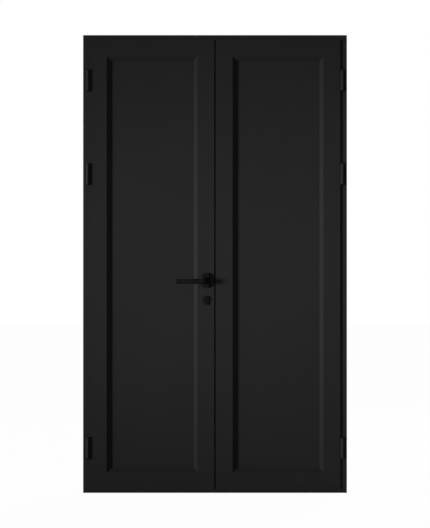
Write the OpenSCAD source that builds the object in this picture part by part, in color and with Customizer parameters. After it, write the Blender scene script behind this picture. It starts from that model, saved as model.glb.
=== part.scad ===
// Double aluminium door with its frame: two panelled leaves that swing towards the front.
// Front is -Y, +X is the right-hand jamb and +Z is up. The origin is on the floor, under the
// middle of the threshold and at half the depth of the frame.
// Each piece of a leaf is drawn for the right-hand leaf and mirrored for the left-hand one.

$fn = 48;

/* [Overall] */
// Width over the jambs
door_w = 1210; // [1000:5:1600]
// Height from the floor to the top of the head
door_h = 2100; // [1950:5:2400]

/* [Frame] */
// Width of jamb left showing beside the leaves
jamb_face = 31; // [24:1:40]
// Height of head left showing above the leaves
head_face = 22; // [20:1:40]
// Width of frame that the leaves lap over
frame_lap = 6; // [4:0.5:8]
// Depth of the frame from front to back
frame_depth = 50; // [46:1:60]
// Wall of the frame profile
frame_wall = 2; // [1.6:0.1:2.6]
// How far the stop flange stands into the doorway
stop_w = 28; // [24:1:36]
// Thickness of the stop flange
stop_t = 2.5; // [2:0.1:4]
// Air gap between the stop flange and the back of a leaf
stop_gap = 5.5; // [4:0.5:8]
// Height of threshold left showing under the leaves
threshold_face = 17; // [14:1:30]
// How far the stop stands above the threshold
threshold_stop = 20; // [18:1:28]
// Width of the stop gasket
stop_gasket_w = 8; // [5:0.5:10]
// Width of the hardware groove in the frame and leaf profiles
groove_w = 16; // [16:0.5:20]
// Depth of the hardware groove
groove_d = 3; // [2:0.5:4]
// Length of each arm of a corner cleat
cleat_arm = 60; // [40:5:90]

/* [Wall anchors] */
// Diameter of the holes for the wall anchors
anchor_d = 10; // [6:0.5:12]
// Distance of the end anchors from the floor and from the top of the head
anchor_end = 300; // [250:10:400]
// Distance of the anchors from the back of the frame
anchor_set = 13; // [10:1:18]

/* [Leaves] */
// Width of the leaf profile's face, flange included
leaf_face = 77; // [70:1:100]
// Width of the flange that laps over the frame
leaf_flange = 18; // [16:0.5:22]
// Thickness of the flange and of the glazing leg
flange_t = 2.2; // [1.8:0.1:3]
// Wall of the leaf profile
leaf_wall = 2; // [1.6:0.1:2.6]
// How far the leaves stand in front of the frame
leaf_proud = 8; // [7:0.5:12]
// Gap between the two leaves
meeting_gap = 7; // [6:0.5:10]
// How far the meeting profile lies behind the edge of the flange
meeting_recess = 5.5; // [5:0.5:7]
// Wall of the meeting profile
meeting_wall = 1.8; // [1.4:0.1:2.2]
// Thickness of the meeting profile's end caps
cap_t = 3; // [2:0.5:5]
// Width of the pile seal between the leaves
seal_w = 5; // [4:0.5:6]

/* [Panels] */
// Thickness of the panel
panel_t = 26; // [18:1:28]
// Air left round the panel's edge
panel_play = 5; // [4:0.5:8]
// Depth of the glazing leg and width of the bead
bead_w = 17; // [14:0.5:22]
// Wall of the bead
bead_wall = 1.5; // [1.2:0.1:2]
// Thickness of the bead's inner edge
bead_edge = 2; // [1.6:0.1:4]
// Hairline left at each end of a bead, in its mitre
bead_joint = 0.05; // [0.02:0.01:0.2]
// How far the bead's seat stands out of the profile
bead_seat = 3; // [2:0.5:3.5]
// Thickness of the gasket behind the bead
bead_gasket_t = 2.5; // [1.5:0.1:4]
// Thickness of the gasket behind the panel
back_gasket_t = 2.8; // [1.5:0.1:4]
// Width of the panel gaskets
panel_gasket_w = 6; // [4:0.5:9]
// Length of a panel packer
packer_l = 80; // [40:5:120]

/* [Hinges] */
// Height of a hinge without its end caps
hinge_h = 90; // [70:2:130]
// Height of the hinge's end caps
hinge_cap_h = 6; // [4:0.5:10]
// Diameter of the hinge knuckles
knuckle_d = 14; // [13:0.5:18]
// Diameter of the hinge pin
pin_d = 7; // [5:0.5:8]
// Distance of the hinge line from the leaf's edge
hinge_out = 9; // [8.5:0.5:10]
// Thickness of the wing's web beside the leaf
web_t = 5.5; // [4:0.5:7]
// Air between the web and the leaf's edge
web_gap = 1.5; // [1:0.1:2]
// Thickness of the wing where it passes behind the flange
neck_t = 3; // [2.5:0.1:3.5]
// Thickness of the wing's plate
plate_t = 4; // [3:0.5:5]
// Thickness of the thrust washer
washer_t = 2; // [0.5:0.5:3]
// Height of the middle of the lowest hinge
hinge_low = 207; // [150:1:300]
// Distance of the middle of the highest hinge from the top of the head
hinge_drop = 209; // [150:1:300]
// Distance between the two upper hinges
hinge_pair = 429; // [250:1:700]

/* [Lever handles] */
// Height of the lever's axis above the floor
handle_z = 975; // [900:1:1100]
// Length of the lever from its axis to its tip
lever_l = 137; // [110:1:160]
// How far the lever stands out from the leaf
lever_out = 64; // [50:1:75]
// Height of the lever's grip
grip_h = 21; // [18:0.5:26]
// Thickness of the lever's grip
grip_t = 12; // [9:0.5:14]
// Radius of the lever's bend, at the middle of the grip
bend_r = 13; // [10:0.5:18]
// How far the grip hangs below the axis
grip_drop = 4; // [0:0.5:5]
// Diameter of the lever's collar
collar_d = 28; // [24:0.5:28]
// How far the collar stands out of the rosette
collar_out = 12; // [8:1:18]
// Width of the rosette
rosette_w = 36; // [34:1:44]
// Height of the rosette
rosette_h = 68; // [56:1:90]
// Thickness of the rosette
rosette_t = 14; // [8:0.5:16]
// Radius of the rosette's corners
rosette_r = 14; // [8:0.5:16]
// Side of the square spindle
spindle_w = 8; // [7:0.5:9]
// How far the spindle enters each lever
spindle_hold = 16; // [12:1:20]

/* [Lock] */
// Distance from the lever's axis to the key's axis
lock_centres = 85; // [72:1:95]
// Distance from the faceplate's face to both axes
backset = 36; // [34:0.5:40]
// Thickness of the lock case
case_t = 15; // [14:0.5:15.5]
// Wall of the lock case
case_wall = 1.5; // [1.2:0.1:2]
// Width of the faceplate and of the plates on the other leaf
plate_w = 20; // [18:0.5:22]
// Thickness of the faceplate and of the plates on the other leaf
faceplate_t = 3; // [2:0.5:4]
// How far the faceplate and the strike reach past what they hold
plate_end = 22; // [16:1:32]
// Height of the latch bolt's middle above the lever's axis
latch_rise = 38; // [34:1:44]
// Height of the latch bolt
latch_h = 14; // [12:0.5:18]
// How far the latch bolt stands out of the faceplate
latch_out = 14; // [12:0.5:15]
// Height of the deadbolt's middle above the key's axis
deadbolt_rise = 32; // [30:1:35]
// Height of the deadbolt
deadbolt_h = 20; // [16:1:24]
// Thickness of both bolts
bolt_t = 11; // [9:0.5:11.5]
// Length of the deadbolt
deadbolt_l = 42; // [36:1:46]
// Thickness of the strike keep
keep_t = 6; // [5:0.5:6.5]
// Diameter of the cylinder's round part
cylinder_d = 17; // [16:0.5:18]
// Width of the cylinder's tail
tail_w = 10; // [9:0.5:11]
// Height of the cylinder
cylinder_h = 33; // [31:0.5:35]
// How far the cylinder stands out of the leaf
cylinder_out = 10; // [9:0.5:14]
// Diameter of the key plugs
plug_d = 13; // [12:0.5:14]
// Width of the keyway
keyway_w = 2.4; // [1.5:0.1:3]
// Width of the cam
cam_w = 9; // [8:0.5:10]
// Reach of the cam from the key's axis
cam_reach = 14; // [11:0.5:15]
// Width of metal that the escutcheon shows round the cylinder's round part
escutcheon_rim = 5.5; // [3:0.5:8]
// Thickness of the escutcheon
escutcheon_t = 8; // [4:0.5:9]

/* [Flush bolts] */
// Diameter of the flush bolts
rod_d = 7; // [5:0.5:7.5]
// Travel of the flush bolts
rod_throw = 20; // [18:1:24]
// Length of the flush bolts
rod_l = 150; // [120:5:260]
// Height of the thumb piece
thumb_h = 14; // [10:1:20]
// Width of the thumb piece
thumb_w = 6; // [4:0.5:6]

/* [Screws] */
// Diameter of the screws
screw_d = 4; // [3:0.5:5]

/* [Clearances] */
// Air between a gasket or seal and the moving piece that it faces
seal_play = 0.3; // [0.2:0.05:0.6]
// Air round a pin or rod in its bore
run_play = 0.05; // [0.02:0.01:0.1]
// Air round a piece that slides or is set in an opening
slide_play = 0.3; // [0.2:0.05:0.4]
// Air round a cleat or clip in its profile
fit_play = 0.2; // [0.1:0.05:0.4]

/* [Hidden] */

coat = "#26282a";
bare = "#b9bcc0";
steel = "#8c9094";
rubber = "#121314";
black = "#161718";

// Overlap of a cutter past the faces that it cuts
cut = 1;
// Reach of a mitre cut on each side of its corner
mitre_reach = 3 * leaf_face;
mitre_inset = 3 * bead_w;

// Depths, from the front of the leaves to the back of the frame
frame_front = -frame_depth / 2;
frame_back = frame_depth / 2;
stop_front = frame_back - stop_t;
leaf_front = frame_front - leaf_proud;
leaf_back = stop_front - stop_gap;
leaf_depth = leaf_back - leaf_front;
middle_y = (leaf_front + leaf_back) / 2;
panel_back = leaf_back - flange_t - back_gasket_t;
panel_front = panel_back - panel_t;
bead_back = panel_front - bead_gasket_t;

// Widths and heights of the frame
jamb_tube = jamb_face + frame_lap;
head_tube = head_face + frame_lap;
jamb_x = door_w / 2 - jamb_tube;
head_z = door_h - head_tube;
sill_z = threshold_face + frame_lap;
stop_sill_z = sill_z + threshold_stop;
FRAME_IN = [-jamb_x, jamb_x, -2 * mitre_reach, head_z];
DOORWAY = [stop_w - jamb_x, jamb_x - stop_w, stop_sill_z, head_z - stop_w];

// Outlines of the right-hand leaf as [left, right, bottom, top]
leaf_edge = meeting_gap / 2;
leaf_side = door_w / 2 - jamb_face;
LEAF = [leaf_edge, leaf_side, threshold_face, door_h - head_face];
APERTURE = grow(LEAF, -leaf_face);
TUBES = grow(LEAF, -leaf_flange);
leaf_tube = leaf_face - leaf_flange;
meeting_x = leaf_edge + meeting_recess;

// Hinge line, and the heights of the hinges
knuckle_r = knuckle_d / 2;
knuckle_h = (hinge_h - washer_t) / 2;
pin_hold = hinge_cap_h / 2;
hinge_x = leaf_side + hinge_out;
hinge_y = leaf_front - knuckle_r;
neck_y = frame_front - (leaf_proud - flange_t) / 2;
hinge_top = door_h - hinge_drop;
HINGE_Z = [hinge_low, hinge_top - hinge_pair, hinge_top];
HINGE_SCREWS = [-knuckle_h / 4, knuckle_h / 4];
screw_l = plate_t + groove_d + min(frame_wall, leaf_wall);

// Lock and handle places
face_x = meeting_x - faceplate_t;
lock_x = face_x + backset;
key_z = handle_z - lock_centres;
latch_z = handle_z + latch_rise;
deadbolt_z = key_z + deadbolt_rise;
hub_r = spindle_w / 2 + 5;
arm_l = hub_r + 6;
arm_w = 6;
lug_t = 3;
latch_travel = 10.5;
case_x = lock_x + arm_w / 2 + lug_t + latch_travel + case_wall + 4;
case_low = key_z - cylinder_h + cylinder_d / 2 - 6;
case_high = latch_z + latch_h / 2 + 6;
plate_low = case_low - plate_end;
plate_high = case_high + plate_end;
plate_screw = plate_end / 2;
plate_screw_l = faceplate_t + meeting_wall + slide_play;
keep_screw_l = keep_t + meeting_wall + slide_play;
keep_face = meeting_x - keep_t;
keep_low = deadbolt_z - deadbolt_h / 2 - plate_end;
keep_high = latch_z + latch_h / 2 + plate_end;
escutcheon_end = 2;
cam_lug = plug_d / 2;
cam_sweep = norm([cam_reach, cam_lug / 2]);
collar_low = 0.5;

// Flush bolts in the chamber of the passive leaf's meeting profile
rod_x = (meeting_x + TUBES[0]) / 2;
rod_z = TUBES[3] + cap_t - 1;
rod_low_z = TUBES[2] - cap_t + 1;
slot_h = thumb_h + rod_throw + 2 * slide_play;
bolt_plate_h = slot_h + 2 * plate_end;
bolt_plate_low = rod_low_z + rod_l + slide_play + plate_end;
bolt_plate_high = rod_z - rod_l - slide_play - plate_end;
BOLT_PLATES = [
  [bolt_plate_low - bolt_plate_h, bolt_plate_low], [bolt_plate_high, bolt_plate_high + bolt_plate_h]
];

function grow(rect, d) = [rect[0] - d, rect[1] + d, rect[2] - d, rect[3] + d];
function corner(rect, way, d) = [
  (way[0] > 0 ? rect[1] : rect[0]) + d * way[0],
  (way[1] > 0 ? rect[3] : rect[2]) + d * way[1]
];

// The sides of an outline, and the two corners that each one runs between
RIGHT = 0;
TOP = 1;
LEFT = 2;
BOTTOM = 3;
SIDES = [RIGHT, TOP, LEFT, BOTTOM];
CORNERS = [[1, -1], [1, 1], [-1, 1], [-1, -1]];

// Draws its children on the left-hand leaf
module flip() {
  mirror([1, 0, 0]) children();
}

// A flat block over an outline, between two depths
module slab(rect, y0, y1) {
  translate([rect[0], y0, rect[2]]) cube([rect[1] - rect[0], y1 - y0, rect[3] - rect[2]]);
}

// A ring between two outlines
module ring(outer, inner, y0, y1) {
  difference() {
    slab(outer, y0, y1);
    slab(inner, y0 - cut, y1 + cut);
  }
}

// Extrudes a section, drawn as (outwards, depth), along one side of an outline
module run(side, rect, from, to) {
  if (side == RIGHT) translate([rect[1], 0, from]) linear_extrude(to - from) children();
  if (side == LEFT) translate([rect[0], 0, from]) mirror([1, 0, 0]) linear_extrude(to - from) children();
  if (side == BOTTOM) translate([from, 0, rect[2]]) rotate([0, 90, 0]) linear_extrude(to - from) children();
  if (side == TOP) {
    translate([from, 0, rect[3]]) mirror([0, 0, 1]) rotate([0, 90, 0]) linear_extrude(to - from) children();
  }
}

// Cuts its children at 45 degrees at both ends of one side of an outline
module mitre(side, rect, gap = 0) {
  first = CORNERS[side];
  second = CORNERS[(side + 1) % 4];
  back = gap * (second - first) / 2;
  intersection() {
    children();
    rotate([90, 0, 0]) linear_extrude(4 * frame_depth, center = true) polygon([
      corner(rect, first, mitre_reach) + back, corner(rect, second, mitre_reach) - back,
      corner(rect, second, -mitre_inset) - back, corner(rect, first, -mitre_inset) + back
    ]);
  }
}

// The hollow of a profile, from one wall to the other, round the wall behind its groove
module chamber(from, to, y0, y1, groove_from, groove_to, wall) {
  difference() {
    translate([from, y0]) square([to - from, y1 - y0]);
    translate([groove_from, middle_y - groove_w / 2 - wall]) {
      square([groove_to - groove_from, groove_w + 2 * wall]);
    }
  }
}

module frame_section(tube, stop) {
  difference() {
    union() {
      translate([0, frame_front]) square([tube, frame_depth]);
      translate([-stop, stop_front]) square([stop + frame_wall, stop_t]);
    }
    chamber(frame_wall, tube - frame_wall, frame_front + frame_wall, frame_back - frame_wall,
      0, groove_d + frame_wall, frame_wall);
    translate([-cut, middle_y - groove_w / 2]) square([groove_d + cut, groove_w]);
  }
}

module leaf_section() {
  difference() {
    union() {
      translate([0, leaf_front]) square([leaf_tube, leaf_depth]);
      translate([leaf_tube - leaf_wall, leaf_front]) square([leaf_flange + leaf_wall, flange_t]);
      translate([-bead_w, leaf_back - flange_t]) square([bead_w + leaf_wall, flange_t]);
      translate([-bead_seat, bead_back]) square([bead_seat + leaf_wall, leaf_wall]);
    }
    chamber(leaf_wall, leaf_tube - leaf_wall, leaf_front + leaf_wall, leaf_back - leaf_wall,
      leaf_tube - groove_d - leaf_wall, leaf_tube, leaf_wall);
    translate([leaf_tube - groove_d, middle_y - groove_w / 2]) square([groove_d + cut, groove_w]);
  }
}

// A bead: a sloped face from the leaf's front to the panel, open at its back
module bead_section() {
  slope = (bead_back - bead_edge - leaf_front) / bead_w;
  difference() {
    polygon([
      [0, leaf_front], [0, bead_back], [-bead_w, bead_back], [-bead_w, bead_back - bead_edge]
    ]);
    polygon([
      [-bead_wall, leaf_front + (slope + 1) * bead_wall], [-bead_wall, bead_back + cut],
      [bead_wall - bead_w, bead_back + cut], [bead_wall - bead_w, bead_back - bead_edge + bead_wall]
    ]);
  }
}

// An L-shaped block that fills the profiles' hollows at one corner of an outline
module cleat(rect, way, inner, outer, y0, y1) {
  at = corner(rect, way, 0);
  outline = [
    [inner, -cleat_arm], [outer, -cleat_arm], [outer, outer], [-cleat_arm, outer],
    [-cleat_arm, inner], [inner, inner]
  ];
  rotate([90, 0, 0]) translate([0, 0, -y1]) linear_extrude(y1 - y0)
    polygon([for (p = outline) at + [p[0] * way[0], p[1] * way[1]]]);
}

// A countersunk screw along +X, with the face of its head at the origin
module screw(length) {
  head_r = screw_d;
  rotate([0, 90, 0]) difference() {
    rotate_extrude() polygon([
      [0, 0], [head_r, 0], [screw_d / 2, head_r / 2], [screw_d / 2, length], [0, length]
    ]);
    translate([0, 0, -cut]) cylinder(h = cut + screw_d / 4, r = screw_d / 3, $fn = 6);
  }
}

// The hole for such a screw
module screw_hole(length) {
  hole_r = screw_d / 2 + fit_play;
  head_r = screw_d + fit_play;
  rotate([0, 90, 0]) rotate_extrude() polygon([
    [0, -cut], [head_r, -cut], [head_r, 0], [hole_r, screw_d / 2], [hole_r, length + cut], [0, length + cut]
  ]);
}

// Places of the screws that hold the hinge wings, above or below each hinge's middle
module at_hinge_screws(half) {
  for (z = HINGE_Z, dz = HINGE_SCREWS) {
    translate([0, middle_y, z + half * (knuckle_h + washer_t) / 2 + dz]) children();
  }
}

module jamb() {
  difference() {
    mitre(RIGHT, FRAME_IN) run(RIGHT, FRAME_IN, 0, door_h) frame_section(jamb_tube, stop_w);
    translate([jamb_x - stop_w - cut, stop_front - cut, -cut]) {
      cube([stop_w + cut, stop_t + 2 * cut, stop_sill_z + cut]);
    }
    for (i = [0:3]) {
      translate([jamb_x - cut, frame_back - anchor_set, anchor_end + i * (door_h - 2 * anchor_end) / 3]) {
        rotate([0, 90, 0]) cylinder(h = jamb_tube + 2 * cut, d = anchor_d);
      }
    }
    at_hinge_screws(-1) translate([jamb_x - plate_t, 0, 0]) screw_hole(screw_l);
  }
}

module frame_left_jamb() {
  color(coat) flip() jamb();
}

module frame_right_jamb() {
  color(coat) jamb();
}

module frame_head() {
  color(coat) difference() {
    mitre(TOP, FRAME_IN) run(TOP, FRAME_IN, -door_w / 2, door_w / 2) frame_section(head_tube, stop_w);
    translate([rod_x, middle_y, head_z]) {
      cylinder(h = groove_d + frame_wall + cut, d = rod_d + 4 * slide_play);
    }
  }
}

module threshold() {
  color(coat) difference() {
    run(BOTTOM, [-jamb_x, jamb_x, sill_z, head_z], -jamb_x, jamb_x) frame_section(sill_z, threshold_stop);
    translate([rod_x, middle_y, sill_z - groove_d - frame_wall - cut]) {
      cylinder(h = groove_d + frame_wall + cut, d = rod_d + 4 * slide_play);
    }
  }
}

module frame_corner_cleats() {
  inset = frame_wall + fit_play;
  front = frame_front + frame_wall;
  outer = min(jamb_tube, head_tube) - inset;
  color(bare) for (side = [-1, 1]) {
    cleat(FRAME_IN, [side, 1], inset + groove_d, outer, front, frame_back - inset);
  }
}

module frame_gasket() {
  color(rubber) ring(grow(DOORWAY, stop_gasket_w), DOORWAY, leaf_back + seal_play, stop_front);
}

// A hinge wing: the knuckle, a web beside the leaf's edge, a neck behind the flange and a plate
module hinge_wing(plate_x) {
  web_x = leaf_side + web_gap;
  plate_end_y = middle_y + groove_w / 2 + 5;
  difference() {
    union() {
      translate([hinge_x, hinge_y, 0]) cylinder(h = knuckle_h, r = knuckle_r);
      translate([web_x, hinge_y, 0]) cube([web_t, neck_y + neck_t / 2 - hinge_y, knuckle_h]);
      translate([plate_x, neck_y - neck_t / 2, 0]) cube([web_x + web_t - plate_x, neck_t, knuckle_h]);
      translate([plate_x, neck_y - neck_t / 2, 0]) cube([plate_t, plate_end_y - neck_y, knuckle_h]);
    }
    translate([hinge_x, hinge_y, -cut]) cylinder(h = knuckle_h + 2 * cut, d = pin_d + 2 * run_play);
  }
}

module frame_wings() {
  for (z = HINGE_Z) {
    translate([0, 0, z - washer_t / 2]) mirror([0, 0, 1]) difference() {
      hinge_wing(jamb_x - plate_t);
      for (dz = HINGE_SCREWS) {
        translate([jamb_x - plate_t, middle_y, knuckle_h / 2 - dz]) screw_hole(screw_l);
      }
    }
  }
}

module leaf_wings() {
  for (z = HINGE_Z) {
    translate([0, 0, z + washer_t / 2]) difference() {
      hinge_wing(TUBES[1]);
      for (dz = HINGE_SCREWS) {
        translate([TUBES[1] + plate_t, middle_y, knuckle_h / 2 + dz]) mirror([1, 0, 0]) screw_hole(screw_l);
      }
    }
  }
}

module left_hinge_frame_wings() {
  color(coat) flip() frame_wings();
}

module right_hinge_frame_wings() {
  color(coat) frame_wings();
}

module left_hinge_leaf_wings() {
  color(coat) flip() leaf_wings();
}

module right_hinge_leaf_wings() {
  color(coat) leaf_wings();
}

module hinge_pins() {
  color(steel) for (side = [-1, 1], z = HINGE_Z) {
    translate([side * hinge_x, hinge_y, z - hinge_h / 2 - pin_hold]) {
      cylinder(h = hinge_h + 2 * pin_hold, d = pin_d);
    }
  }
}

// A cap with a rounded-off end, on the pin's end at the top of a hinge
module hinge_cap() {
  relief = knuckle_r / 4;
  difference() {
    rotate_extrude() polygon([
      [0, 0], [knuckle_r, 0], [knuckle_r, hinge_cap_h - relief],
      [knuckle_r - relief, hinge_cap_h], [0, hinge_cap_h]
    ]);
    translate([0, 0, -cut]) cylinder(h = pin_hold + cut, d = pin_d + 2 * run_play);
  }
}

module hinge_caps() {
  color(black) for (side = [-1, 1], z = HINGE_Z, end = [0, 1]) {
    translate([side * hinge_x, hinge_y, z]) mirror([0, 0, end]) translate([0, 0, hinge_h / 2]) hinge_cap();
  }
}

module hinge_washers() {
  color(rubber) for (side = [-1, 1], z = HINGE_Z) {
    translate([side * hinge_x, hinge_y, z - washer_t / 2]) difference() {
      cylinder(h = washer_t, r = knuckle_r);
      translate([0, 0, -cut]) cylinder(h = washer_t + 2 * cut, d = pin_d + 2 * run_play);
    }
  }
}

module frame_hinge_screws() {
  color(steel) for (side = [0, 1]) {
    mirror([side, 0, 0]) at_hinge_screws(-1) translate([jamb_x - plate_t, 0, 0]) screw(screw_l);
  }
}

// A keeper block in the hardware groove, bored for a flush bolt
module keeper() {
  keeper_l = 4 * rod_d;
  translate([rod_x, middle_y, 0]) difference() {
    translate([-keeper_l / 2, fit_play - groove_w / 2, 0]) {
      cube([keeper_l, groove_w - 2 * fit_play, groove_d]);
    }
    translate([0, 0, -cut]) cylinder(h = groove_d + 2 * cut, d = rod_d + 2 * slide_play);
  }
}

module bolt_keepers() {
  color(steel) {
    translate([0, 0, head_z]) keeper();
    translate([0, 0, sill_z - groove_d]) keeper();
  }
}

// One profile of a leaf, mitred at both ends
module leaf_profile(side) {
  upright = side == RIGHT || side == LEFT;
  from = upright ? LEAF[2] : LEAF[0];
  to = upright ? LEAF[3] : LEAF[1];
  mitre(side, APERTURE) run(side, APERTURE, from, to) leaf_section();
}

module hinge_stile() {
  difference() {
    leaf_profile(RIGHT);
    at_hinge_screws(1) translate([TUBES[1] + plate_t, 0, 0]) mirror([1, 0, 0]) screw_hole(screw_l);
  }
}

module leaf_cleats() {
  inset = leaf_wall + fit_play;
  for (way = CORNERS) {
    cleat(APERTURE, way, inset, leaf_tube - inset - groove_d, leaf_front + leaf_wall, leaf_back - inset);
  }
}

module panel() {
  slab(grow(APERTURE, -panel_play), panel_front, panel_back);
}

module panel_packers() {
  width = APERTURE[1] - APERTURE[0];
  for (share = [0.2, 0.8]) {
    translate([APERTURE[0] + share * width - packer_l / 2, panel_front, APERTURE[2]]) {
      cube([packer_l, panel_t, panel_play]);
    }
  }
}

module glazing_beads() {
  for (side = SIDES) {
    upright = side == RIGHT || side == LEFT;
    from = upright ? APERTURE[2] : APERTURE[0];
    to = upright ? APERTURE[3] : APERTURE[1];
    mitre(side, APERTURE, bead_joint) run(side, APERTURE, from, to) bead_section();
  }
}

module panel_gaskets() {
  outer = grow(APERTURE, panel_gasket_w - bead_w);
  inner = grow(APERTURE, -bead_w);
  ring(outer, inner, bead_back, panel_front);
  ring(outer, inner, panel_back, leaf_back - flange_t);
}

// The box that closes the meeting edge, with a lip at the back and a clip in the groove
module meeting_section() {
  front = leaf_front + flange_t;
  depth = leaf_back - front;
  difference() {
    union() {
      translate([meeting_x, front]) square([TUBES[0] - meeting_x, depth]);
      translate([leaf_edge, leaf_back - flange_t]) square([meeting_recess + meeting_wall, flange_t]);
      translate([TUBES[0] - meeting_wall, middle_y - groove_w / 2 + fit_play]) {
        square([meeting_wall + groove_d - fit_play, groove_w - 2 * fit_play]);
      }
    }
    translate([meeting_x + meeting_wall, front + meeting_wall]) {
      square([TUBES[0] - meeting_x - 2 * meeting_wall, depth - 2 * meeting_wall]);
    }
  }
}

module meeting_profile() {
  translate([0, 0, TUBES[2]]) linear_extrude(TUBES[3] - TUBES[2]) meeting_section();
}

module meeting_seal() {
  translate([seal_play * 2, leaf_front + flange_t + seal_play, sill_z + cap_t]) {
    cube([meeting_x - seal_play * 2, seal_w, head_z - sill_z - 2 * cap_t]);
  }
}

module meeting_caps(bore_d) {
  for (z = [TUBES[2] - cap_t, TUBES[3]]) {
    difference() {
      translate([meeting_x, leaf_front + flange_t + seal_play, z]) {
        cube([TUBES[0] - meeting_x, leaf_depth - flange_t - seal_play, cap_t]);
      }
      if (bore_d > 0) translate([rod_x, middle_y, z - cut]) cylinder(h = cap_t + 2 * cut, d = bore_d);
    }
  }
}

module leaf_hinge_screws() {
  at_hinge_screws(1) translate([TUBES[1] + plate_t, 0, 0]) mirror([1, 0, 0]) screw(screw_l);
}

// Places of the screws at the ends of a plate on the meeting edge
module at_plate_ends(x, low, high) {
  for (z = [low + plate_screw, high - plate_screw]) {
    translate([x, middle_y, z]) children();
  }
}

// The box that the lock case takes up, with some air round it
module case_room(air) {
  translate([meeting_x - air, middle_y - case_t / 2 - air, case_low - air]) {
    cube([case_x - meeting_x + 2 * air, case_t + 2 * air, case_high - case_low + 2 * air]);
  }
}

// The outline of the lock cylinder, with its round part at the origin
module cylinder_outline(rim) {
  tail_r = tail_w / 2;
  tail_z = cylinder_d / 2 + tail_r - cylinder_h;
  circle(r = cylinder_d / 2 + rim);
  translate([-tail_r - rim, tail_z]) square([tail_w + 2 * rim, -tail_z]);
  translate([0, tail_z]) circle(r = tail_r + rim);
}

// Runs an outline, drawn as (x, z), from one depth to another at the key's axis
module at_key(y0, y1) {
  translate([lock_x, y1, key_z]) rotate([90, 0, 0]) linear_extrude(y1 - y0) children();
}

// A round bar along the depth
module round_y(x, z, d, y0, y1) {
  translate([x, y1, z]) rotate([90, 0, 0]) cylinder(h = y1 - y0, d = d);
}

// A bar of square section along the depth at the lever's axis
module square_y(w, y0, y1) {
  translate([lock_x - w / 2, y0, handle_z - w / 2]) cube([w, y1 - y0, w]);
}

module left_hinge_stile() {
  color(coat) flip() hinge_stile();
}

module left_meeting_stile() {
  color(coat) flip() difference() {
    leaf_profile(LEFT);
    case_room(slide_play);
    round_y(lock_x, handle_z, 2 * hub_r, leaf_front - cut, leaf_back + cut);
    at_key(leaf_front - cut, leaf_back + cut) cylinder_outline(slide_play);
  }
}

module left_top_rail() {
  color(coat) flip() leaf_profile(TOP);
}

module left_bottom_rail() {
  color(coat) flip() leaf_profile(BOTTOM);
}

module left_corner_cleats() {
  color(bare) flip() leaf_cleats();
}

module left_panel() {
  color(coat) flip() panel();
}

module left_panel_packers() {
  color(rubber) flip() panel_packers();
}

module left_glazing_beads() {
  color(coat) flip() glazing_beads();
}

module left_panel_gaskets() {
  color(rubber) flip() panel_gaskets();
}

module left_meeting_profile() {
  color(coat) flip() difference() {
    meeting_profile();
    case_room(slide_play);
    at_plate_ends(face_x, plate_low, plate_high) screw_hole(plate_screw_l);
  }
}

module left_meeting_seal() {
  color(rubber) flip() meeting_seal();
}

module left_meeting_caps() {
  color(black) flip() meeting_caps(0);
}

module left_leaf_screws() {
  color(steel) flip() {
    leaf_hinge_screws();
    at_plate_ends(face_x, plate_low, plate_high) screw(plate_screw_l);
  }
}

// An opening through the front of the lock for one of its bolts
module bolt_opening(z, height, x0, x1) {
  translate([x0, middle_y - bolt_t / 2 - slide_play, z - height / 2 - slide_play]) {
    cube([x1 - x0, bolt_t + 2 * slide_play, height + 2 * slide_play]);
  }
}

module lock_case() {
  color(steel) flip() difference() {
    case_room(0);
    translate([meeting_x + case_wall, middle_y - case_t / 2 + case_wall, case_low + case_wall]) {
      cube([
        case_x - meeting_x - 2 * case_wall, case_t - 2 * case_wall, case_high - case_low - 2 * case_wall
      ]);
    }
    bolt_opening(latch_z, latch_h, meeting_x - cut, lock_x);
    bolt_opening(deadbolt_z, deadbolt_h, meeting_x - cut, lock_x);
    round_y(lock_x, handle_z, 2 * hub_r + 2 * slide_play, leaf_front, leaf_back);
    at_key(leaf_front, leaf_back) cylinder_outline(slide_play);
  }
}

module lock_faceplate() {
  color(steel) flip() difference() {
    translate([face_x, middle_y - plate_w / 2, plate_low]) {
      cube([faceplate_t, plate_w, plate_high - plate_low]);
    }
    bolt_opening(latch_z, latch_h, face_x - cut, lock_x);
    bolt_opening(deadbolt_z, deadbolt_h, face_x - cut, lock_x);
    at_plate_ends(face_x, plate_low, plate_high) screw_hole(plate_screw_l);
  }
}

// A rectangle with round corners, about the origin
module round_rect(w, h, r) {
  square([w - 2 * r, h], center = true);
  square([w, h - 2 * r], center = true);
  for (x = [r - w / 2, w / 2 - r], z = [r - h / 2, h / 2 - r]) {
    translate([x, z]) circle(r = r);
  }
}

// A rosette on the leaf's front: a round-cornered cover with a hole for the collar
module rosette() {
  translate([lock_x, leaf_front, handle_z]) rotate([90, 0, 0]) difference() {
    linear_extrude(rosette_t) round_rect(rosette_w, rosette_h, rosette_r);
    translate([0, 0, -cut]) cylinder(h = rosette_t + 2 * cut, d = collar_d + 2 * slide_play);
  }
}

// A keyhole-shaped escutcheon round the cylinder
module escutcheon() {
  at_key(leaf_front - escutcheon_t, leaf_front) difference() {
    union() {
      circle(r = cylinder_d / 2 + escutcheon_rim);
      translate([-tail_w / 2 - escutcheon_rim, cylinder_d / 2 - cylinder_h - escutcheon_end]) {
        square([tail_w + 2 * escutcheon_rim, cylinder_h - cylinder_d / 2]);
      }
    }
    cylinder_outline(slide_play);
  }
}

// Mirrors a piece of the front of the leaf to its back
module to_back() {
  translate([0, 2 * middle_y, 0]) mirror([0, 1, 0]) children();
}

module front_rosette() {
  color(black) flip() rosette();
}

module back_rosette() {
  color(black) flip() to_back() rosette();
}

module front_escutcheon() {
  color(black) flip() escutcheon();
}

module back_escutcheon() {
  color(black) flip() to_back() escutcheon();
}

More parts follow.
